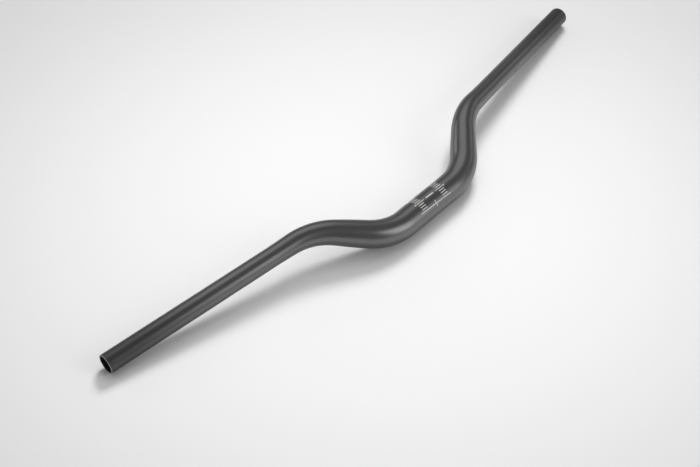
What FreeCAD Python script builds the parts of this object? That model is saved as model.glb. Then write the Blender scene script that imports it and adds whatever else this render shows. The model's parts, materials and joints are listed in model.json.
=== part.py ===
"""Riser handlebar of a mountain bike: one aluminium tube, tapered, butted and bent twice on each side.

The bar is drawn as it is ridden, with X across the bike, Y back towards the rider and Z up, and the middle
of the stem clamp at the origin. It is then turned about the clamp axis until it lies as it comes to rest on
a table, on the clamp and on both cut ends.
"""

import FreeCAD, Part
import math
import os

from FreeCAD import Placement, Rotation, Vector

# Sizes that the bar is sold by, in millimetres and degrees
BAR_WIDTH = 800.0          # between the centres of the two cut ends
RISE = 80.0                # from the clamp axis up to the centres of the cut ends
BACKSWEEP = 10.0           # grips towards the rider, seen from above
UPSWEEP = 5.0              # grips upwards, seen from the front
CLAMP_DIAMETER = 31.8
GRIP_DIAMETER = 22.2

# Centreline of one half, from the middle of the bar outwards
CLAMP_LENGTH = 80.0        # straight stretch in the stem clamp, both halves together
LOWER_BEND_RADIUS = 72.0
LEG_TURN = 40.5            # riser leg from the clamp axis
LEG_LEAN = 13.5            # plane of the riser leg, back from upright
SHOULDER_BEND_RADIUS = 90.0

# Taper from the clamp's diameter to the grip's, measured along the centreline
TAPER_DELAY = 34.0         # from the end of the clamp stretch to the start of the taper
TAPER_RUNOUT = 32.0        # from the end of the shoulder bend to the end of the taper

# Butted wall: thick in the clamp, thinner at the grips, blended along the taper
CLAMP_WALL = 2.4
GRIP_WALL = 1.9

# Cut ends
RIM_ROUND = 0.6            # outer edge
MOUTH_CHAMFER = 0.5        # edge of the bore

# Spacing of the taper's sections along the centreline, and how far a cut runs past the end of the bar
SECTION_SPACING = 6.0
CUT_MARGIN = 5.0
MATCH = 0.001              # closest fit when an edge is picked by its place


def grip_direction():
    """Unit vector outwards along the right grip."""
    sweep = Vector(1.0, math.tan(math.radians(BACKSWEEP)), math.tan(math.radians(UPSWEEP)))
    return sweep.normalize()


def leg_direction():
    """Unit vector up the right riser leg."""
    turn = math.radians(LEG_TURN)
    lean = math.radians(LEG_LEAN)
    rise = math.sin(turn)
    return Vector(math.cos(turn), rise * math.sin(lean), rise * math.cos(lean))


def tangent_length(radius, before, after):
    """Distance from a corner to the ends of the arc that rounds it."""
    return radius * math.tan(before.getAngle(after) / 2.0)


def bend(corner, before, after, radius):
    """Arc that rounds a corner of the centreline, between two straight runs."""
    reach = tangent_length(radius, before, after)
    start = corner - before * reach
    end = corner + after * reach
    inward = (after - before).normalize()
    centre = corner + inward * math.hypot(radius, reach)
    return Part.Arc(start, centre - inward * radius, end).toShape()


def line(start, end):
    return Part.LineSegment(start, end).toShape()


def centreline():
    """Edges of the right half: clamp, lower bend, riser leg, shoulder bend and grip.

    The leg and the grip are as long as the width and the rise ask for, which is a pair of linear equations
    in their lengths from corner to corner.
    """
    middle = Vector(0.0, 0.0, 0.0)
    across = Vector(1.0, 0.0, 0.0)
    leg = leg_direction()
    grip = grip_direction()
    foot = across * (CLAMP_LENGTH / 2.0 + tangent_length(LOWER_BEND_RADIUS, across, leg))
    width_left = BAR_WIDTH / 2.0 - foot.x
    determinant = leg.x * grip.z - leg.z * grip.x
    leg_length = (width_left * grip.z - RISE * grip.x) / determinant
    grip_length = (RISE * leg.x - width_left * leg.z) / determinant
    shoulder = foot + leg * leg_length
    tip = shoulder + grip * grip_length

    lower_bend = bend(foot, across, leg, LOWER_BEND_RADIUS)
    shoulder_bend = bend(shoulder, leg, grip, SHOULDER_BEND_RADIUS)
    return [
        line(middle, lower_bend.firstVertex().Point),
        lower_bend,
        line(lower_bend.lastVertex().Point, shoulder_bend.firstVertex().Point),
        shoulder_bend,
        line(shoulder_bend.lastVertex().Point, tip),
    ]


def station(path, distance):
    """Point and direction of the centreline at a distance from the middle of the bar."""
    for edge in path[:-1]:
        if distance <= edge.Length:
            break
        distance -= edge.Length
    else:
        edge = path[-1]
    parameter = edge.getParameterByLength(distance)
    return edge.valueAt(parameter), edge.tangentAt(parameter)


def taper(path, clamp_radius, grip_radius):
    """Radius as a function of distance along the centreline: level, then an S-shaped blend, then level."""
    start = path[0].Length + TAPER_DELAY
    end = sum(edge.Length for edge in path[:-1]) + TAPER_RUNOUT

    def radius(distance):
        share = min(max((distance - start) / (end - start), 0.0), 1.0)
        return clamp_radius + (grip_radius - clamp_radius) * share * share * (3.0 - 2.0 * share)

    return radius


def spaced(start, end):
    """Evenly spaced distances along the centreline, both ends included."""
    steps = math.ceil((end - start) / SECTION_SPACING)
    return [start + (end - start) * step / steps for step in range(steps + 1)]


def swept_bend(path, arc, start, radius):
    """Solid round one bend: circles of the taper's radius, carried along the arc with seams in line."""
    sweep = Part.BRepOffsetAPI.MakePipeShell(Part.Wire(arc))
    for distance in spaced(start, start + arc.Length):
        point, direction = station(path, distance)
        up = direction.cross(Vector(0.0, 1.0, 0.0))
        circle = Part.Circle(Vector(), Vector(0.0, 0.0, 1.0), radius(distance)).toShape()
        circle.Placement = Placement(point, Rotation(up.cross(direction), up, direction, "ZXY"))
        sweep.add(Part.Wire(circle), False, False)
    sweep.build()
    sweep.makeSolid()
    return sweep.shape()


def turned_run(path, start, end, radius):
    """Solid round a straight run: the taper's outline, turned about the run."""
    foot, along = station(path, start)
    head = foot + along * (end - start)
    outwards = along.cross(Vector(0.0, 1.0, 0.0)).normalize()
    outline = [foot + along * (at - start) + outwards * radius(at) for at in spaced(start, end)]
    curve = Part.BSplineCurve()
    curve.interpolate(outline)
    edges = [line(foot, outline[0]), curve.toShape(), line(outline[-1], head), line(head, foot)]
    return Part.Face(Part.Wire(edges)).revolve(foot, along, 360.0)


def half_rod(path, clamp_radius, grip_radius, margin=0.0):
    """Solid right half, stretch by stretch: clamp cylinder, tapered bends and leg, grip cylinder."""
    clamp, lower_bend, leg, shoulder_bend, grip = path
    leg_start = clamp.Length + lower_bend.Length
    shoulder_start = leg_start + leg.Length
    grip_start = shoulder_start + shoulder_bend.Length
    taper_end = grip_start + TAPER_RUNOUT
    bar_end = grip_start + grip.Length + margin
    radius = taper(path, clamp_radius, grip_radius)
    clamp_cylinder = Part.makeCylinder(clamp_radius, clamp.Length, Vector(), Vector(1.0, 0.0, 0.0))
    return clamp_cylinder.fuse([
        swept_bend(path, lower_bend, clamp.Length, radius),
        turned_run(path, leg_start, shoulder_start, radius),
        swept_bend(path, shoulder_bend, shoulder_start, radius),
        turned_run(path, grip_start, taper_end, radius),
        Part.makeCylinder(grip_radius, bar_end - taper_end, *station(path, taper_end)),
    ])


def rod(path, clamp_radius, grip_radius, margin=0.0):
    """Both halves in one solid."""
    right = half_rod(path, clamp_radius, grip_radius, margin)
    left = right.mirror(Vector(), Vector(1.0, 0.0, 0.0))
    return right.fuse(left).removeSplitter()


def end_edges(shape, path, radius):
    """Round edges of one radius in the planes of the two cut ends."""
    tip = path[-1].lastVertex().Point
    tips = [tip, Vector(-tip.x, tip.y, tip.z)]
    rounds = [edge for edge in shape.Edges if isinstance(edge.Curve, Part.Circle)]
    same = [edge for edge in rounds if abs(edge.Curve.Radius - radius) < MATCH]
    return [edge for edge in same if min(edge.Curve.Center.distanceToPoint(end) for end in tips) < MATCH]


def tube(path):
    """The whole bar: outer rod less its bore, with the cut ends rounded outside and chamfered inside."""
    clamp_radius = CLAMP_DIAMETER / 2.0
    grip_radius = GRIP_DIAMETER / 2.0
    bore_radius = grip_radius - GRIP_WALL
    outside = rod(path, clamp_radius, grip_radius)
    bore = rod(path, clamp_radius - CLAMP_WALL, bore_radius, CUT_MARGIN)
    bar = outside.cut(bore)
    bar = bar.makeFillet(RIM_ROUND, end_edges(bar, path, grip_radius))
    return bar.makeChamfer(MOUTH_CHAMFER, end_edges(bar, path, bore_radius))


def end_height(path, turn):
    """Height of a cut end over the clamp's underside, once the bar is turned about the clamp axis."""
    rotation = Rotation(Vector(1.0, 0.0, 0.0), turn)
    direction = rotation.multVec(grip_direction())
    rim_centre = rotation.multVec(path[-1].lastVertex().Point) - direction * RIM_ROUND
    rim_drop = (GRIP_DIAMETER / 2.0 - RIM_ROUND) * math.hypot(direction.x, direction.y) + RIM_ROUND
    return rim_centre.z - rim_drop + CLAMP_DIAMETER / 2.0


def rest_turn(path):
    """Turn about the clamp axis, in degrees, that brings both cut ends down to the table, by halving."""
    low, high = -90.0, 0.0
    while high - low > MATCH * MATCH:
        middle = (low + high) / 2.0
        if end_height(path, middle) < 0.0:
            low = middle
        else:
            high = middle
    return (low + high) / 2.0


def main():
    path = centreline()
    handlebar = tube(path)
    handlebar.rotate(Vector(), Vector(1.0, 0.0, 0.0), rest_turn(path))
    os.makedirs("parts", exist_ok=True)
    handlebar.exportStep("parts/handlebar.step")


main()
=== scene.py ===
"""A satin black riser handlebar for a mountain bike, with the marks on its clamp, on a pale studio floor.

The bar is one closed surface. Rings are carried along a centreline of straight runs and arcs, and each ring's
radius comes from the taper, the butted wall or a cut end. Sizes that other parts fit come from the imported
record, so the surface lies where the solid does. Lengths are in metres and angles in radians.
"""

import json
import math

import bpy
import numpy as np
from mathutils import Matrix, Vector


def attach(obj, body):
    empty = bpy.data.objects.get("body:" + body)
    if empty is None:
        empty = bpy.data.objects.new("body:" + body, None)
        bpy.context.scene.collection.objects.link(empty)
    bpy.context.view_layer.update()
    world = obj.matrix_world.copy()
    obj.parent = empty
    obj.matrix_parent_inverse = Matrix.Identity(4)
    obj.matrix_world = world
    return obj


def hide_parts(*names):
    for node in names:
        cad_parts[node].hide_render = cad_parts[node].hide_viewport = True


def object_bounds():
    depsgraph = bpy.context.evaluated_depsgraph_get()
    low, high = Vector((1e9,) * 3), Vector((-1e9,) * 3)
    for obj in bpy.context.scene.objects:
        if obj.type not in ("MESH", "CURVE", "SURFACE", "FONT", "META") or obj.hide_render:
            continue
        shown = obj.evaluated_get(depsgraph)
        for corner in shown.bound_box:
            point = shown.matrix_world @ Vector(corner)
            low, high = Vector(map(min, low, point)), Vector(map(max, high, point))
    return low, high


bl_info = {
    "name": "Riser Handlebar",
    "version": (1, 0, 0),
    "blender": (4, 5, 0),
    "location": "3D View > Sidebar > Handlebar",
    "description": "Builds a satin black riser handlebar, the marks on its clamp and a studio around it",
    "category": "Add Mesh",
}

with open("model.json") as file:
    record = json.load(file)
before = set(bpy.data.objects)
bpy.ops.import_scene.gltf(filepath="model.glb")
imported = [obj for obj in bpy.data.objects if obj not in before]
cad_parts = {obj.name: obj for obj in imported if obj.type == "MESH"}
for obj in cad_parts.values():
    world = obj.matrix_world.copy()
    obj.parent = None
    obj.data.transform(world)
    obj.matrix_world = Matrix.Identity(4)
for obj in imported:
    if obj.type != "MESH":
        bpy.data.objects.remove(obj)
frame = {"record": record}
CAD_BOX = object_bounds()

MILLIMETRE = 0.001
MOUNTS = {mount["name"]: mount for mount in frame["record"]["mounts"]}
CLAMP = MOUNTS["stem_clamp"]
GRIP = MOUNTS["right_grip"]
BORE = MOUNTS["right_bar_end"]

ACROSS = np.array([1.0, 0.0, 0.0])
UP = np.array([0.0, 0.0, 1.0])


# Kinds of setting

def length(name, description, default):
    """Setting in metres."""
    return bpy.props.FloatProperty(
        name=name, description=description, default=default, precision=5, unit="LENGTH")


def angle(name, description, degrees):
    """Setting that is given in degrees and kept in radians."""
    return bpy.props.FloatProperty(
        name=name, description=description, default=math.radians(degrees), subtype="ANGLE")


def share(name, description, default):
    """Setting from 0 to 1."""
    return bpy.props.FloatProperty(
        name=name, description=description, default=default, min=0.0, max=1.0, subtype="FACTOR")


def amount(name, description, default):
    """Setting from 0 up."""
    return bpy.props.FloatProperty(name=name, description=description, default=default, min=0.0)


def count(name, description, default):
    """Whole number from 1 up."""
    return bpy.props.IntProperty(name=name, description=description, default=default, min=1)


def colour(name, description, default):
    """Linear red, green and blue."""
    return bpy.props.FloatVectorProperty(
        name=name, description=description, default=default, min=0.0, max=1.0, subtype="COLOR")


def place(name, description, default, subtype="TRANSLATION"):
    """Point in metres, or a direction."""
    return bpy.props.FloatVectorProperty(
        name=name, description=description, default=default, precision=5, subtype=subtype)


# Settings

class BarShape(bpy.types.PropertyGroup):
    """Sizes of the tube. Those that other parts fit are the record's."""

    clamp_radius: length("Clamp radius", "Outside of the middle stretch", CLAMP["dims"]["r_mm"] * MILLIMETRE)
    clamp_length: length("Clamp length", "Straight middle stretch", CLAMP["dims"]["length_mm"] * MILLIMETRE)
    grip_radius: length("Grip radius", "Outside of the grips", GRIP["dims"]["r_mm"] * MILLIMETRE)
    grip_length: length("Grip length", "From the taper to the rim", GRIP["dims"]["length_mm"] * MILLIMETRE)
    grip_middle: place("Grip middle", "Middle of the right grip, on its axis", GRIP["pos_m"])
    grip_axis: place("Grip axis", "Outwards along the right grip", GRIP["axis"], "DIRECTION")
    grip_bore: length("Grip bore", "Radius of the bore in the grips", BORE["dims"]["r_mm"] * MILLIMETRE)
    clamp_wall: length("Clamp wall", "Wall in the middle stretch", 0.0024)
    lower_bend: length("Lower bend", "Centreline radius between clamp and riser leg", 0.072)
    shoulder_bend: length("Shoulder bend", "Centreline radius between riser leg and grip", 0.090)
    taper_delay: length("Taper delay", "From the clamp stretch to the start of the taper", 0.034)
    taper_runout: length("Taper run-out", "From the shoulder bend to the end of the taper", 0.032)
    rim_round: length("Rim round", "Round on the outer edge of the cut ends", 0.0006)
    mouth_chamfer: length("Mouth chamfer", "Chamfer on the edge of the bore", 0.0005)
    ring_points: count("Ring points", "Points round the tube", 128)
    bend_step: length("Bend step", "Spacing of the rings in the bends and tapers", 0.0015)
    straight_step: length("Straight step", "Spacing of the rings in the clamp and the grips", 0.005)
    bore_spread: amount("Bore spread", "How many times wider the rings are spaced in the bore", 2.0)


class BarFinish(bpy.types.PropertyGroup):
    """Black anodised finish under a clear seal, satin in the middle and duller towards the cut ends."""

    satin_black: colour("Satin black", "Colour from the clamp to the shoulders", (0.0060, 0.0060, 0.0066))
    grip_black: colour("Grip black", "Colour of the dull grips", (0.0085, 0.0083, 0.0083))
    bore_black: colour("Bore black", "Colour inside the tube", (0.012, 0.012, 0.013))
    # The rims' grey is partly black worn thin and partly a painted highlight on the rounded outer edge of the
    # cut ends.
    rim_wear_and_highlight: colour("Rim grey", "Colour of the rims, where the black is worn thin", (0.30, 0.30, 0.31))
    rim_wear_and_highlight_start: length("Rim start", "Where the worn rim starts, in from the outside", 0.0008)
    rim_wear_and_highlight_end: length("Rim end", "Where the rim is fully worn, in from the outside", 0.0004)
    satin_roughness: share("Satin roughness", "Roughness under the seal in the middle", 0.45)
    grip_roughness: share("Grip roughness", "Roughness under the seal on the grips", 0.54)
    bore_roughness: share("Bore roughness", "Roughness inside the tube", 0.50)
    seal_roughness: share("Seal roughness", "Roughness of the clear seal", 0.29)
    seal_cover: share("Seal cover", "How much of the skin the seal covers, in the middle", 0.46)
    skin_ior: amount("Skin IOR", "Index of refraction of the dyed skin", 1.5)
    seal_ior: amount("Seal IOR", "Index of refraction of the seal, high for an even gloss", 3.0)
    grip_dullness: share("Grip dullness", "How much of the seal is gone at the cut ends", 0.62)
    dull_start: length("Dull start", "Where the seal starts to thin, from each cut end", 0.150)
    dull_end: length("Dull end", "Where the seal is thinnest, from each cut end", 0.020)
    cloud_size: length("Cloud size", "Size of the uneven patches in the dye", 0.030)
    cloud_depth: share("Cloud depth", "How much the patches change the colour", 0.16)
    smear_size: length("Smear size", "Size of the patches of uneven roughness", 0.0105)
    smear_depth: share("Smear depth", "How much the roughness changes over the patches", 0.10)
    grain_size: length("Grain size", "Size of the blasted grain", 0.0005)
    grain_height: length("Grain height", "Height of the blasted grain at the cut ends", 0.000012)
    middle_grain: share("Middle grain", "Height of the grain in the middle, as a share of the ends'", 0.55)
    turning_pitch: length("Turning pitch", "Spacing of the tool lines on the cut ends", 0.00018)
    turning_height: length("Turning height", "Height of the tool lines on the cut ends", 0.000010)


class ClampMarks(bpy.types.PropertyGroup):
    """White alignment marks on the clamp.

    A long line has a cross stroke, and two ladders of ticks rise from it, with a dot beside every few ticks.
    Between the ladders are a bold bar and two thin dashes.
    """

    ink_white: colour("Ink white", "Colour of the marks", (0.74, 0.72, 0.71))
    thin_white: share("Thin white", "Colour of thin ink, as a share of full ink's", 0.72)
    patch_size: length("Patch size", "Size of the patches where the ink is thin", 0.0012)
    ink_roughness: share("Ink roughness", "Roughness of thin ink", 0.55)
    ink_chalk: share("Ink chalk", "How much rougher full ink is", 0.12)
    ink_grain_size: length("Ink grain size", "Size of the ink's grain", 0.0004)
    ink_grain_height: length("Ink grain height", "Height of the ink's grain", 0.000006)
    film_height: length("Film height", "How far the ink stands proud of the tube", 0.00003)
    film_depth: length("Film depth", "How far the ink's underside lies in the tube", 0.00002)
    middle: length("Middle", "Middle of the print, along the clamp", -0.0006)
    line_turn: angle("Line turn", "Place of the long line, up from the front of the clamp", 39.8)
    slant: angle("Slant", "How far the whole print leans down to the right", 1.8)
    line_length: length("Line length", "Length of the long line", 0.0514)
    line_width: length("Line width", "Width of the long line and its cross stroke", 0.0010)
    cross_length: length("Cross length", "Length of the stroke across the long line", 0.0088)
    ladder_gap: length("Ladder gap", "Between the inner ends of the two ladders", 0.0266)
    tick_count: count("Tick count", "Ticks in each ladder", 9)
    tick_pitch: length("Tick pitch", "Spacing of the ticks round the clamp", 0.0030)
    tick_width: length("Tick width", "Width of a tick", 0.0009)
    tick_length: length("Tick length", "Length of a tick", 0.0087)
    count_step: count("Count step", "Every so many ticks have a dot beside them", 4)
    dot_gap: length("Dot gap", "Between a tick and its dot", 0.0011)
    dot_length: length("Dot length", "Length of a dot", 0.0020)
    dot_width: length("Dot width", "Width of a dot", 0.0014)
    bar_length: length("Bar length", "Length of the bold bar between the ladders", 0.0126)
    bar_width: length("Bar width", "Width of the bold bar", 0.0015)
    dash_length: length("Dash length", "Length of the thin dashes beside the bold bar", 0.0036)
    dash_width: length("Dash width", "Width of the thin dashes", 0.0006)


class Studio(bpy.types.PropertyGroup):
    """Floor, lights and camera."""

    floor_white: colour("Floor white", "Colour of the floor around the bar", (0.95, 0.95, 0.95))
    # The floor's grey, its middle and its fade paint a pool of light round the bar, falling off to painted
    # shade.
    floor_painted_shade: colour("Floor grey", "Colour that the floor fades to", (0.62, 0.62, 0.625))
    floor_roughness: share("Floor roughness", "Roughness of the floor", 0.9)
    painted_light_pool_middle: place("Floor middle", "Point that the floor fades away from", (-0.085, 0.02, 0.0))
    painted_falloff_start: length("Fade start", "Distance at which the floor starts to fade", 0.12)
    painted_falloff_end: length("Fade end", "Distance at which the floor has faded", 0.75)
    floor_size: length("Floor size", "Side of the floor", 24.0)
    key_power: amount("Key power", "Small light from behind that draws the shadow, in watts", 238.0)
    fill_power: amount("Fill power", "Broad panel overhead that softens the shadow, in watts", 46.0)
    back_power: amount("Back power", "Broad panel behind the bar, in watts", 54.0)
    left_power: amount("Left power", "Small low panel at the back left, in watts", 18.0)
    right_power: amount("Right power", "Broad panel at the front right, in watts", 94.0)
    end_power: amount("End power", "Small low panel beyond the right grip, in watts", 5.6)
    room_level: share("Room level", "Light from all round", 0.26)
    camera_azimuth: angle("Camera azimuth", "Camera round the bar, from the front", -50.71)
    camera_elevation: angle("Camera elevation", "Camera above the floor", 43.01)
    camera_roll: angle("Camera roll", "Tilt of the picture", 1.16)
    camera_distance: length("Camera distance", "From the camera to its target", 1.83159)
    camera_target: place(
        "Camera target", "Point on the floor in the middle of the picture", (-0.08001, 0.04598, -0.0159))
    camera_lens: amount("Camera lens", "Focal length in millimetres on a 36 mm sensor", 84.84)


# Shader maths

class Field:
    """A number that varies over a surface. Arithmetic on fields adds Math nodes to their material."""

    def __init__(self, finish, socket):
        self.finish = finish
        self.socket = socket

    def maths(self, operation, *terms):
        node = self.finish.node("ShaderNodeMath", {"operation": operation}, dict(enumerate(terms)))
        return Field(self.finish, node.outputs[0])

    def __add__(self, other):
        return self.maths("ADD", self, other)

    def __radd__(self, other):
        return self.maths("ADD", other, self)

    def __sub__(self, other):
        return self.maths("SUBTRACT", self, other)

    def __rsub__(self, other):
        return self.maths("SUBTRACT", other, self)

    def __mul__(self, other):
        return self.maths("MULTIPLY", self, other)

    def __rmul__(self, other):
        return self.maths("MULTIPLY", other, self)

    def __abs__(self):
        return self.maths("ABSOLUTE", self)

    def sine(self):
        return self.maths("SINE", self)

    def step(self, start, end):
        """Smooth step from 0 at start to 1 at end."""
        inputs = {"Value": self, "From Min": start, "From Max": end}
        settings = {"interpolation_type": "SMOOTHSTEP"}
        return Field(self.finish, self.finish.node("ShaderNodeMapRange", settings, inputs).outputs[0])


class Finish:
    """A material, or the world, whose nodes are added one by one."""

    NOISE_ROUGHNESS = 0.55

    def __init__(self, tree):
        self.tree = tree
        self.tree.nodes.clear()

    def node(self, kind, settings, inputs):
        """Adds a node, sets its own settings first, and then sets or links its sockets."""
        node = self.tree.nodes.new(kind)
        for name, value in settings.items():
            setattr(node, name, value)
        for key, value in inputs.items():
            source = value.socket if isinstance(value, Field) else value
            if isinstance(source, bpy.types.NodeSocket):
                self.tree.links.new(source, node.inputs[key])
            else:
                node.inputs[key].default_value = source
        return node

    def mix(self, mask, low, high, blend="MIX"):
        """Colour that goes from low to high with a mask, or to low times high where the blend is MULTIPLY."""
        settings = {"data_type": "RGBA", "blend_type": blend}
        inputs = {0: mask, 6: opaque(low), 7: opaque(high)}
        return self.node("ShaderNodeMix", settings, inputs).outputs[2]

    def places(self):
        """Object coordinates, in metres, in the frame of the part."""
        return self.node("ShaderNodeTexCoord", {}, {}).outputs["Object"]

    def attribute(self, name):
        """A number that the mesh holds at each point."""
        return Field(self, self.node("ShaderNodeAttribute", {"attribute_name": name}, {}).outputs["Fac"])

    def noise(self, vector, size, detail):
        """Noise between 0 and 1, with lumps of about the given size."""
        inputs = {"Vector": vector, "Scale": 1.0 / size, "Detail": detail,
                  "Roughness": self.NOISE_ROUGHNESS}
        return Field(self, self.node("ShaderNodeTexNoise", {}, inputs).outputs["Fac"])

    def bump(self, height, distance, normal=None):
        """Normal of a height between 0 and 1, with the given distance from its low to its high places."""
        inputs = {"Height": height, "Distance": distance, "Strength": 1.0}
        if normal is not None:
            inputs["Normal"] = normal
        return self.node("ShaderNodeBump", {}, inputs).outputs["Normal"]

    def surface(self, **inputs):
        """Principled surface on the material's output. Names are the sockets' own, with underscores."""
        named = {name.replace("_", " "): value for name, value in inputs.items()}
        shader = self.node("ShaderNodeBsdfPrincipled", {}, named)
        self.node("ShaderNodeOutputMaterial", {}, {"Surface": shader.outputs[0]})


def opaque(value):
    """A colour with its alpha, or a socket as it is."""
    return value if isinstance(value, bpy.types.NodeSocket) else (*value, 1.0)


def new_finish(name):
    """New material, and the finish that its nodes are added to."""
    material = bpy.data.materials.new(name)
    material.use_nodes = True
    return material, Finish(material.node_tree)


# Materials

def black_anodised(settings, half_length, rim_radius):
    """Black anodised aluminium under a clear seal that thins towards the cut ends.

    The mesh holds each point's distance along the bar, its distance from the centreline, and masks for the
    bore and the cut ends. The dye is uneven in soft patches and the roughness in smaller ones. The skin has a
    blasted grain, higher towards the cut ends, and turning leaves fine rings on the ends' faces. The bore
    has no seal.
    """
    material, finish = new_finish("black_anodised")
    places = finish.places()
    along = finish.attribute("along")
    radius = finish.attribute("radius")
    inside = finish.attribute("inside")
    cut = finish.attribute("cut")

    dull = abs(along).step(half_length - settings.dull_start, half_length - settings.dull_end)
    # Painted highlight and wear: the rounded outer edge of each cut end is lightened to grey all round.
    rim = cut * radius.step(rim_radius - settings.rim_wear_and_highlight_start, rim_radius - settings.rim_wear_and_highlight_end)
    cloud = finish.noise(places, settings.cloud_size, detail=3.0)
    grain = finish.noise(places, settings.grain_size, detail=2.0)
    smear = finish.noise(places, settings.smear_size, detail=4.0)

    skin = finish.mix(dull, settings.satin_black, settings.grip_black)
    outside = finish.mix(rim, skin, settings.rim_wear_and_highlight)
    body = finish.mix(inside, outside, settings.bore_black)
    darkest = (1.0 - settings.cloud_depth,) * 3
    lightest = (1.0 + settings.cloud_depth,) * 3
    dyed = finish.mix(1.0, body, finish.mix(cloud, darkest, lightest), "MULTIPLY")

    smooth = settings.satin_roughness + (settings.grip_roughness - settings.satin_roughness) * dull
    worn = smooth + (smear - 0.5) * settings.smear_depth
    roughness = worn + inside * (settings.bore_roughness - worn)

    turning = (radius * (math.tau / settings.turning_pitch)).sine() * 0.5 + 0.5
    raised = settings.middle_grain + (1.0 - settings.middle_grain) * dull
    blasted = finish.bump(grain * raised, settings.grain_height)
    normal = finish.bump(turning * cut, settings.turning_height, blasted)
    seal = settings.seal_cover * (1.0 - settings.grip_dullness * dull) * (1.0 - inside)
    finish.surface(
        Base_Color=dyed, Roughness=roughness, Normal=normal, IOR=settings.skin_ior,
        Coat_Weight=seal, Coat_Roughness=settings.seal_roughness, Coat_IOR=settings.seal_ior)
    return material


# Levels of the noise between which the ink goes from thin to full
THIN_INK = 0.30
FULL_INK = 0.75


def white_ink(settings):
    """White pad print: a thin film that covers unevenly, so it is greyer in small patches."""
    material, finish = new_finish("white_ink")
    places = finish.places()
    full = finish.noise(places, settings.patch_size, detail=3.0).step(THIN_INK, FULL_INK)
    grain = finish.noise(places, settings.ink_grain_size, detail=2.0)
    faded = tuple(settings.thin_white * value for value in settings.ink_white)
    finish.surface(
        Base_Color=finish.mix(full, faded, settings.ink_white),
        Roughness=settings.ink_roughness + settings.ink_chalk * full,
        Normal=finish.bump(grain, settings.ink_grain_height))
    return material


def pale_floor(settings):
    """White floor with a painted pool of light round the bar: it fades to a painted shade of grey with the
    distance from a point by the bar.
    """
    material, finish = new_finish("pale_floor")
    inputs = {0: finish.places(), 1: settings.painted_light_pool_middle}
    away = finish.node("ShaderNodeVectorMath", {"operation": "DISTANCE"}, inputs)
    # Painted falloff of light: the floor goes from white to a painted shade of grey away from the bar.
    painted_falloff = Field(finish, away.outputs["Value"]).step(settings.painted_falloff_start, settings.painted_falloff_end)
    finish.surface(
        Base_Color=finish.mix(painted_falloff, settings.floor_white, settings.floor_painted_shade),
        Roughness=settings.floor_roughness)
    return material


# Surfaces

def unit(vector):
    """Vector of length 1 in the same direction."""
    return vector / np.linalg.norm(vector)


def bend_angle(before, after):
    """Angle between two unit vectors, from their dot product."""
    return math.acos(np.clip(np.dot(before, after), -1.0, 1.0))


def bend_reach(radius, before, after):
    """Distance from a corner to the ends of the arc that rounds it."""
    return radius * math.tan(bend_angle(before, after) / 2.0)


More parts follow.
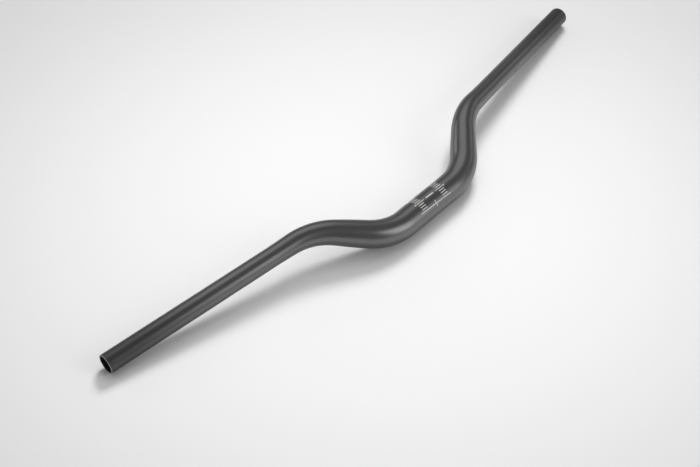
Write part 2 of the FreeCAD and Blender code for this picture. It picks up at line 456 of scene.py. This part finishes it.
class Centreline:
    """Line through the middle of the tube, by signed distance from the middle of the clamp.

    The right half is a run in the clamp, an arc, the riser leg, an arc and the grip, and the left half is its
    mirror image. A stretch of curvature k that starts at point p along d and turns towards n has, at distance
    l, turned by a = k l. It lies at p + l sinc(a) d + l (a / 2) sinc(a / 2)^2 n, with sinc(a) = sin(a) / a,
    which is a straight run where k is 0, and its direction is cos(a) d + sin(a) n.
    """

    # Rounds in which the leg's direction settles between its two bends
    LEG_ROUNDS = 20

    def __init__(self, shape):
        grip = unit(np.array(shape.grip_axis))
        grip_start = np.array(shape.grip_middle) - grip * shape.grip_length / 2.0
        half_clamp = shape.clamp_length / 2.0
        leg = unit(grip_start - ACROSS * half_clamp)
        for _ in range(self.LEG_ROUNDS):
            foot = ACROSS * (half_clamp + bend_reach(shape.lower_bend, ACROSS, leg))
            shoulder = grip_start - grip * (shape.taper_runout + bend_reach(shape.shoulder_bend, leg, grip))
            leg = unit(shoulder - foot)
        leg_length = np.linalg.norm(shoulder - foot)
        leg_length -= bend_reach(shape.lower_bend, ACROSS, leg) + bend_reach(shape.shoulder_bend, leg, grip)

        lower_arc = shape.lower_bend * bend_angle(ACROSS, leg)
        shoulder_arc = shape.shoulder_bend * bend_angle(leg, grip)
        grip_run = shape.taper_runout + shape.grip_length + shape.rim_round
        lengths = np.array([half_clamp, lower_arc, leg_length, shoulder_arc, grip_run])
        curvatures = np.array([0.0, 1.0 / shape.lower_bend, 0.0, 1.0 / shape.shoulder_bend, 0.0])
        self.starts = np.concatenate([[0.0], np.cumsum(lengths)])
        self.curvatures = curvatures
        self.directions = np.array([ACROSS, ACROSS, leg, leg, grip])
        towards = np.array([leg, leg, grip, grip, -ACROSS])
        sideways = towards - (towards * self.directions).sum(1, keepdims=True) * self.directions
        self.normals = sideways / np.linalg.norm(sideways, axis=1, keepdims=True)
        self.points = np.zeros((len(lengths), 3))
        for stretch in range(1, len(lengths)):
            before = stretch - 1
            self.points[stretch] = self.stretch_point(np.array([before]), lengths[[before]])[0]
        self.half_length = self.starts[-1]
        self.taper_start = half_clamp + shape.taper_delay
        self.taper_end = self.starts[-2] + shape.taper_runout

    def stretch_point(self, stretch, run):
        """Points on the right half, by the number of a stretch and the distance along it."""
        turn = self.curvatures[stretch] * run
        ahead = run * np.sinc(turn / math.pi)
        aside = run * (turn / 2.0) * np.sinc(turn / math.tau) ** 2
        return (self.points[stretch] + ahead[:, None] * self.directions[stretch]
                + aside[:, None] * self.normals[stretch])

    def at(self, stations):
        """Points and directions at signed distances."""
        side = np.where(stations < 0.0, -1.0, 1.0)
        distance = np.abs(stations)
        stretch = np.searchsorted(self.starts[:-1], distance, side="right") - 1
        run = distance - self.starts[stretch]
        turn = (self.curvatures[stretch] * run)[:, None]
        points = self.stretch_point(stretch, run)
        directions = np.cos(turn) * self.directions[stretch] + np.sin(turn) * self.normals[stretch]
        points[:, 0] *= side
        directions[:, 1:] *= side[:, None]
        return points, directions

    def taper(self, stations, clamp_radius, grip_radius):
        """Radius along the bar: 3 t^2 - 2 t^3 of the way from the clamp's to the grip's, level past both."""
        way = (np.abs(stations) - self.taper_start) / (self.taper_end - self.taper_start)
        way = np.clip(way, 0.0, 1.0)
        return clamp_radius + (grip_radius - clamp_radius) * way * way * (3.0 - 2.0 * way)


def spaced(start, end, step):
    """Evenly spaced numbers from start to just before end."""
    return np.linspace(start, end, max(int(round((end - start) / step)), 1), endpoint=False)


def ring_stations(shape, line, end, spread=1.0):
    """Distances along the whole bar, close together in the bends and tapers and wider in the straights."""
    half_clamp = shape.clamp_length / 2.0
    half = np.concatenate([
        spaced(0.0, half_clamp, shape.straight_step * spread),
        spaced(half_clamp, line.taper_end, shape.bend_step * spread),
        spaced(line.taper_end, end, shape.straight_step * spread),
        [end]])
    return np.concatenate([-half[:0:-1], half])


def cut_end_profile(shape, line, round_steps=8, face_steps=4):
    """Stations and radii from the outside to the bore: a quarter circle, a flat ring and a chamfer."""
    turn = np.linspace(0.0, math.pi / 2.0, round_steps + 1)[1:]
    rim = shape.rim_round
    round_stations = line.half_length - rim + rim * np.sin(turn)
    round_radii = shape.grip_radius - rim + rim * np.cos(turn)
    mouth = shape.grip_bore + shape.mouth_chamfer
    face_radii = np.linspace(round_radii[-1], mouth, face_steps + 1)[1:]
    face_stations = np.full(face_steps, line.half_length)
    return np.concatenate([round_stations, face_stations]), np.concatenate([round_radii, face_radii])


def bar_profile(shape, line):
    """Closed profile of the tube: outside to the right, right cut end, bore to the left, left cut end.

    Returns the stations, the radii, a mask for the bore and a mask for the cut ends.
    """
    outside = ring_stations(shape, line, line.half_length - shape.rim_round)
    bore = ring_stations(shape, line, line.half_length - shape.mouth_chamfer, shape.bore_spread)[::-1]
    end_stations, end_radii = cut_end_profile(shape, line)
    stations = np.concatenate([outside, end_stations, bore, -end_stations[::-1]])
    radii = np.concatenate([
        line.taper(outside, shape.clamp_radius, shape.grip_radius),
        end_radii,
        line.taper(bore, shape.clamp_radius - shape.clamp_wall, shape.grip_bore),
        end_radii[::-1]])
    sizes = [len(outside), len(end_stations), len(bore), len(end_stations)]
    inside = np.repeat([0.0, 0.0, 1.0, 0.0], sizes)
    cut = np.repeat([0.0, 1.0, 0.0, 1.0], sizes)
    return stations, radii, inside, cut


def carried_rings(line, stations, radii, ring_points):
    """Grid of rings: centre + radius (cos t a + sin t b), with a level and b square to the centreline.

    At the clamp, t = 0 is the front of the bar and a quarter turn is its top.
    """
    centres, directions = line.at(stations)
    level = np.cross(directions, UP)
    level /= np.linalg.norm(level, axis=1, keepdims=True)
    upright = np.cross(level, directions)
    turn = np.linspace(0.0, math.tau, ring_points, endpoint=False)[None, :, None]
    outwards = np.cos(turn) * level[:, None, :] + np.sin(turn) * upright[:, None, :]
    return centres[:, None, :] + radii[:, None, None] * outwards


def closed_grid_faces(rows, columns):
    """Four corners of each face of a grid that closes on itself both ways."""
    row, column = np.meshgrid(np.arange(rows), np.arange(columns), indexing="ij")
    next_row = (row + 1) % rows
    next_column = (column + 1) % columns
    corners = [row * columns + column, next_row * columns + column,
               next_row * columns + next_column, row * columns + next_column]
    return np.stack(corners, axis=-1).reshape(-1, 4)


def films(radius_in, radius_out, spans, slope, steps):
    """Thin closed films on the clamp: a patch of two layers, inner and outer, with walls round its edge.

    A span is a film's lowest and highest place x along the clamp and its lowest and highest turn t. The turn
    falls by slope times x, and a point is at (x, -r cos t, r sin t).
    """
    x_low, x_high, turn_low, turn_high = np.asarray(spans).T[:, :, None, None, None]
    way = np.linspace(0.0, 1.0, steps + 1)
    r = np.array([radius_in, radius_out])[None, :, None, None]
    x = x_low + (x_high - x_low) * way[None, None, :, None]
    turn = turn_low + (turn_high - turn_low) * way[None, None, None, :] - slope * x
    x, r, turn = np.broadcast_arrays(x, r, turn)
    points = np.stack([x, -r * np.cos(turn), r * np.sin(turn)], axis=-1)

    inner, outer = np.arange(2 * (steps + 1) ** 2).reshape(2, steps + 1, steps + 1)
    top = np.stack([outer[:-1, :-1], outer[1:, :-1], outer[1:, 1:], outer[:-1, 1:]], axis=-1)
    underside = np.stack([inner[:-1, :-1], inner[:-1, 1:], inner[1:, 1:], inner[1:, :-1]], axis=-1)
    low_edge, high_edge = edge_loop(inner), edge_loop(outer)
    walls = np.stack([low_edge, np.roll(low_edge, -1), np.roll(high_edge, -1), high_edge], axis=-1)
    one_film = np.concatenate([top.reshape(-1, 4), underside.reshape(-1, 4), walls])
    first = np.arange(len(spans)) * 2 * (steps + 1) ** 2
    return points.reshape(-1, 3), (first[:, None, None] + one_film[None]).reshape(-1, 4)


def edge_loop(grid):
    """Numbers on the edge of a square grid, in order round it."""
    return np.concatenate([grid[:-1, 0], grid[-1, :-1], grid[:0:-1, -1], grid[0, :0:-1]])


SHARP_ANGLE = math.radians(30.0)


def new_piece(name, points, faces, material):
    """Mesh object at the origin with smooth faces, and sharp edges where faces meet at a corner."""
    mesh = bpy.data.meshes.new(name)
    mesh.vertices.add(len(points))
    mesh.vertices.foreach_set("co", np.ascontiguousarray(points, dtype=np.float32).ravel())
    mesh.loops.add(faces.size)
    mesh.loops.foreach_set("vertex_index", faces.astype(np.int32).ravel())
    mesh.polygons.add(len(faces))
    mesh.polygons.foreach_set("loop_start", np.arange(0, faces.size, faces.shape[1], dtype=np.int32))
    mesh.update(calc_edges=True)
    mesh.polygons.foreach_set("use_smooth", np.ones(len(faces), dtype=bool))
    mesh.set_sharp_from_angle(angle=SHARP_ANGLE)
    mesh.materials.append(material)
    mesh.validate()
    piece = bpy.data.objects.new(name, mesh)
    bpy.context.scene.collection.objects.link(piece)
    return piece


def keep_number(piece, name, numbers):
    """Stores one number for each point of the mesh, for the material to read."""
    attribute = piece.data.attributes.new(name, "FLOAT", "POINT")
    attribute.data.foreach_set("value", np.ascontiguousarray(numbers, dtype=np.float32))


# Operators

class HANDLEBAR_OT_bar(bpy.types.Operator):
    """Build the tube: rings carried along the centreline, outside and bore, closed at both cut ends"""

    bl_idname = "handlebar.bar"
    bl_label = "Bar"

    def execute(self, context):
        shape = context.scene.bar_shape
        line = Centreline(shape)
        stations, radii, inside, cut = bar_profile(shape, line)
        points = carried_rings(line, stations, radii, shape.ring_points)
        faces = closed_grid_faces(len(stations), shape.ring_points)
        material = black_anodised(context.scene.bar_finish, line.half_length, shape.grip_radius)
        bar = new_piece("bar", points.reshape(-1, 3), faces, material)
        for name, numbers in (("along", stations), ("radius", radii), ("inside", inside), ("cut", cut)):
            keep_number(bar, name, np.repeat(numbers, shape.ring_points))
        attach(bar, "root")
        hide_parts("handlebar")
        return {"FINISHED"}


class HANDLEBAR_OT_clamp_marks(bpy.types.Operator):
    """Print the alignment marks on the clamp"""

    bl_idname = "handlebar.clamp_marks"
    bl_label = "Clamp marks"

    FILM_STEPS = 8

    def spans(self, marks, radius):
        """Each mark's places along the clamp and turns round it."""
        spans = [self.span(marks, radius, 0.0, 0.0, marks.line_length, marks.line_width),
                 self.span(marks, radius, 0.0, 0.0, marks.line_width, marks.cross_length)]
        bar_rise = marks.count_step * marks.tick_pitch
        for side in (-1.0, 1.0):
            for tick in range(1, marks.tick_count + 1):
                rise = tick * marks.tick_pitch
                middle = side * (marks.ladder_gap + marks.tick_length) / 2.0
                spans.append(self.span(marks, radius, middle, rise, marks.tick_length, marks.tick_width))
                if tick % marks.count_step == 0:
                    middle += side * (marks.tick_length / 2.0 + marks.dot_gap + marks.dot_length / 2.0)
                    spans.append(self.span(marks, radius, middle, rise, marks.dot_length, marks.dot_width))
            middle = side * (marks.ladder_gap - marks.dash_length) / 2.0
            spans.append(self.span(marks, radius, middle, bar_rise, marks.dash_length, marks.dash_width))
        spans.append(self.span(marks, radius, 0.0, bar_rise, marks.bar_length, marks.bar_width))
        return spans

    def span(self, marks, radius, middle, rise, length, width):
        """Span of one mark, from its middle and its rise over the long line, its length and its width."""
        place = marks.middle + middle
        turn = marks.line_turn + rise / radius
        half_turn = width / radius / 2.0
        return place - length / 2.0, place + length / 2.0, turn - half_turn, turn + half_turn

    def execute(self, context):
        marks = context.scene.clamp_marks
        radius = context.scene.bar_shape.clamp_radius
        points, faces = films(radius - marks.film_depth, radius + marks.film_height,
                              self.spans(marks, radius), math.tan(marks.slant) / radius, self.FILM_STEPS)
        print_film = new_piece("clamp_marks", points, faces, white_ink(marks))
        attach(print_film, "root")
        return {"FINISHED"}


class HANDLEBAR_OT_studio(bpy.types.Operator):
    """Set up the floor, the lights and the camera"""

    bl_idname = "handlebar.studio"
    bl_label = "Studio"

    # Azimuth from +X and elevation in degrees, width and height in metres, all at one distance
    SOFT_LIGHTS = {
        "key": (29.0, 42.0, 2.0, 1.7),
        "fill": (29.0, 80.0, 4.0, 4.0),
        "back": (49.0, 55.0, 4.5, 4.5),
        "left": (95.0, 20.0, 1.7, 1.7),
        "right": (-65.0, 24.0, 3.0, 4.0),
        "end": (-14.0, 22.0, 1.7, 1.3),
    }
    LIGHT_DISTANCE = 6.0
    # Lights that the gloss doesn't mirror, so that they leave no hot spot on the bar
    NOT_MIRRORED = {"key", "fill"}
    SENSOR_WIDTH = 36.0

    def floor(self, studio, height):
        """Square floor at a height."""
        half = studio.floor_size / 2.0
        x = np.array([-half, half, half, -half])
        y = np.array([-half, -half, half, half])
        corners = np.stack([x, y, np.full(4, height)], axis=-1)
        floor = new_piece("floor", corners, np.array([[0, 1, 2, 3]]), pale_floor(studio))

    def soft_light(self, name, power, azimuth, elevation, width, height):
        """Rectangular light that faces the middle of the bar."""
        lamp = bpy.data.lights.new(name, "AREA")
        lamp.shape = "RECTANGLE"
        lamp.size = width
        lamp.size_y = height
        lamp.energy = power
        light = bpy.data.objects.new(name, lamp)
        azimuth = math.radians(azimuth)
        elevation = math.radians(elevation)
        outwards = Vector((math.cos(azimuth) * math.cos(elevation), math.sin(azimuth) * math.cos(elevation),
                           math.sin(elevation)))
        facing = outwards.to_track_quat("Z", "Y").to_matrix().to_4x4()
        light.matrix_world = Matrix.Translation(outwards * self.LIGHT_DISTANCE) @ facing
        light.visible_camera = False
        light.visible_glossy = name not in self.NOT_MIRRORED
        bpy.context.scene.collection.objects.link(light)

    def camera(self, studio):
        """Camera that looks at its target from an azimuth and an elevation, tilted by its roll."""
        lens = bpy.data.cameras.new("camera")
        lens.lens = studio.camera_lens
        lens.sensor_width = self.SENSOR_WIDTH
        lens.sensor_fit = "HORIZONTAL"
        camera = bpy.data.objects.new("camera", lens)
        azimuth = studio.camera_azimuth
        elevation = studio.camera_elevation
        back = Vector((math.sin(azimuth) * math.cos(elevation), -math.cos(azimuth) * math.cos(elevation),
                       math.sin(elevation)))
        right = Vector((math.cos(azimuth), math.sin(azimuth), 0.0))
        upwards = back.cross(right)
        level = Matrix((right, upwards, back)).transposed().to_4x4()
        place = Matrix.Translation(Vector(studio.camera_target) + back * studio.camera_distance)
        camera.matrix_world = place @ level @ Matrix.Rotation(studio.camera_roll, 4, "Z")
        bpy.context.scene.collection.objects.link(camera)
        bpy.context.scene.camera = camera

    def room(self, studio):
        """Even light from all round."""
        world = bpy.data.worlds.new("room")
        world.use_nodes = True
        finish = Finish(world.node_tree)
        inputs = {"Color": (1.0, 1.0, 1.0, 1.0), "Strength": studio.room_level}
        background = finish.node("ShaderNodeBackground", {}, inputs)
        finish.node("ShaderNodeOutputWorld", {}, {"Surface": background.outputs[0]})
        bpy.context.scene.world = world

    def execute(self, context):
        studio = context.scene.studio
        self.floor(studio, CAD_BOX[0].z)
        for name, measures in self.SOFT_LIGHTS.items():
            self.soft_light(name, getattr(studio, name + "_power"), *measures)
        self.room(studio)
        self.camera(studio)
        context.scene.view_settings.view_transform = "Standard"
        return {"FINISHED"}


class HANDLEBAR_PT_sidebar(bpy.types.Panel):
    """Settings and steps of the handlebar"""

    bl_label = "Riser Handlebar"
    bl_space_type = "VIEW_3D"
    bl_region_type = "UI"
    bl_category = "Handlebar"

    def draw(self, context):
        for group, operator in STEPS:
            box = self.layout.box()
            settings = getattr(context.scene, group)
            for name in settings.bl_rna.properties.keys():
                if name not in {"rna_type", "name"}:
                    box.prop(settings, name)
            if operator is not None:
                box.operator(operator.bl_idname)


SETTINGS = {"bar_shape": BarShape, "bar_finish": BarFinish, "clamp_marks": ClampMarks, "studio": Studio}
STEPS = (
    ("bar_shape", None),
    ("bar_finish", HANDLEBAR_OT_bar),
    ("clamp_marks", HANDLEBAR_OT_clamp_marks),
    ("studio", HANDLEBAR_OT_studio),
)
CLASSES = (
    *SETTINGS.values(),
    HANDLEBAR_OT_bar,
    HANDLEBAR_OT_clamp_marks,
    HANDLEBAR_OT_studio,
    HANDLEBAR_PT_sidebar,
)


def register():
    for cls in CLASSES:
        bpy.utils.register_class(cls)
    for name, group in SETTINGS.items():
        setattr(bpy.types.Scene, name, bpy.props.PointerProperty(type=group))


def unregister():
    for name in SETTINGS:
        delattr(bpy.types.Scene, name)
    for cls in reversed(CLASSES):
        bpy.utils.unregister_class(cls)


def main():
    register()
    bpy.ops.handlebar.bar()
    bpy.ops.handlebar.clamp_marks()
    bpy.ops.handlebar.studio()


if __name__ == "__main__":
    main()
